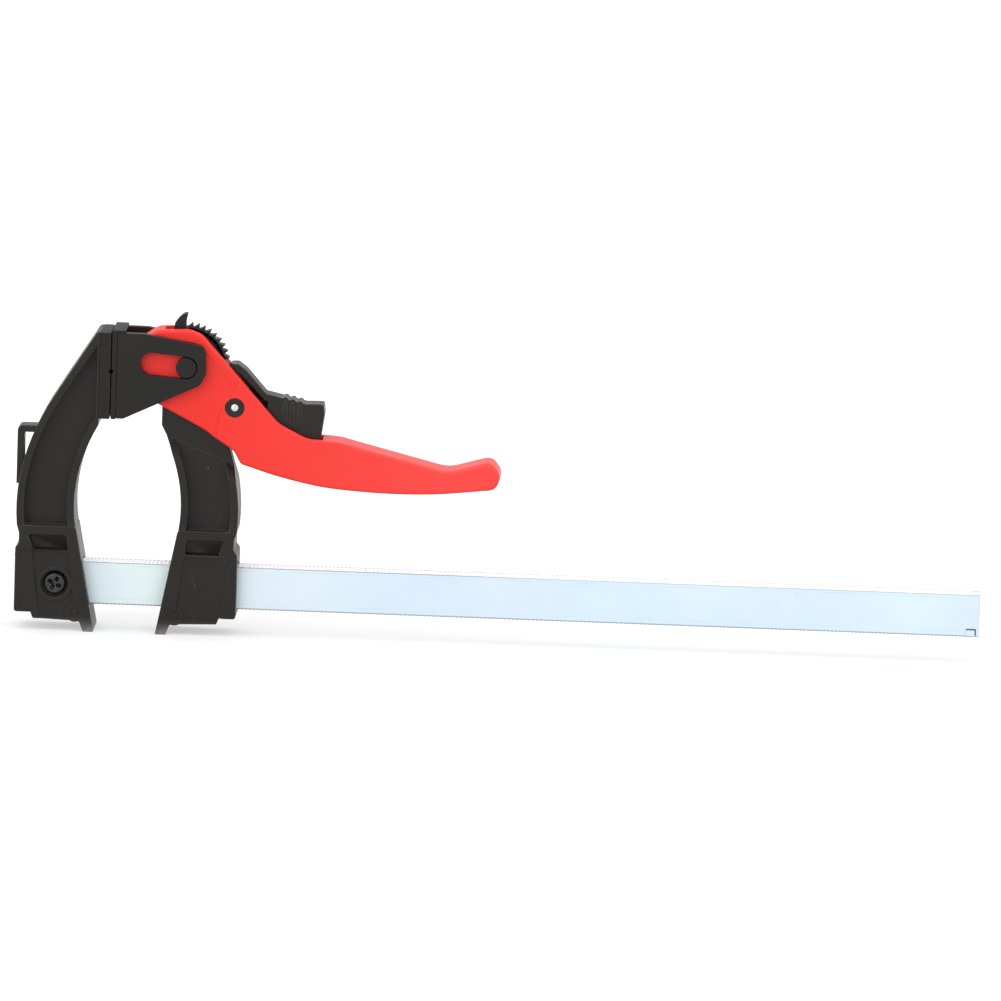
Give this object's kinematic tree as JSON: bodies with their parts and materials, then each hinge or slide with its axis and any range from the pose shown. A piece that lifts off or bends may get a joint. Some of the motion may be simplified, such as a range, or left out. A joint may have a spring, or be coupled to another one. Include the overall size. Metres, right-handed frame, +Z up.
{
  "type": "quick release bar clamp",
  "caption": "Quick release bar clamp: fixed arm on a flat steel bar, sliding arm with a ratchet lever, cam-driven pusher jaw and thumb release.",
  "frame": {"origin": "middle of the underside of the whole clamp when it is closed: half way between the fixed arm's back and the bar's free end, on the mid-plane, at the level of the feet", "axes": "+X along the bar from the fixed arm to the bar's free end, +Z up from the bar towards the jaws, +Y across the clamp's thickness, away from the side with the screw's head"},
  "size_m": [0.3754, 0.021, 0.1254],
  "materials": {
    "zinc": "bright zinc plate, satin",
    "steel": "zinc plated, satin",
    "dark_steel": "hardened, dull",
    "blackened": "blackened steel, satin",
    "nylon": "glass-filled nylon, fine moulded grain",
    "pad": "soft jaw pad, matt",
    "red": "moulded red plastic, satin"
  },
  "bodies": {
    "base": {"bar": "zinc", "fixed_arm": "nylon", "fixed_pad": "pad", "fixed_axles": "blackened", "fixed_sleeves": "dark_steel", "bar_screw": "blackened", "bar_nut": "blackened"},
    "jaw": {"sliding_arm": "nylon", "slide_axles": "blackened", "slide_sleeves": "dark_steel", "ratchet_sector": "blackened", "sector_rivets": "dark_steel", "pivot_pin": "blackened", "pivot_collar": "blackened"},
    "pusher": {"pusher": "nylon", "moving_pad": "pad"},
    "lever": {"lever": "red", "release_pin": "steel", "release_bushes": "nylon", "release_spring": "steel"},
    "release": {"release_lever": "nylon"}
  },
  "joints": [
    {"name": "jaw_slide", "type": "slide", "parent": "base", "child": "jaw", "axis": [1, 0, 0], "range_m": [0, 0.283]},
    {"name": "lever_pivot", "type": "hinge", "parent": "jaw", "child": "lever", "pos_m": [-0.1225, 0, 0.1051], "axis": [0, -1, 0], "range_deg": [0, 78]},
    {"name": "pusher_slide", "type": "slide", "parent": "jaw", "child": "pusher", "axis": [0.9962, 0, -0.0872], "range_m": [0, 0.0082]},
    {"name": "release_pivot", "type": "hinge", "parent": "lever", "child": "release", "pos_m": [-0.1034, 0, 0.0899], "axis": [0, 1, 0], "range_deg": [0, 8], "stiffness_Nm_per_rad": 0.15, "springref_deg": -17.19}
  ],
  "couplings": [
    {"joint": "pusher_slide", "follows": "lever_pivot", "m_per_rad": 0.006023}
  ]
}
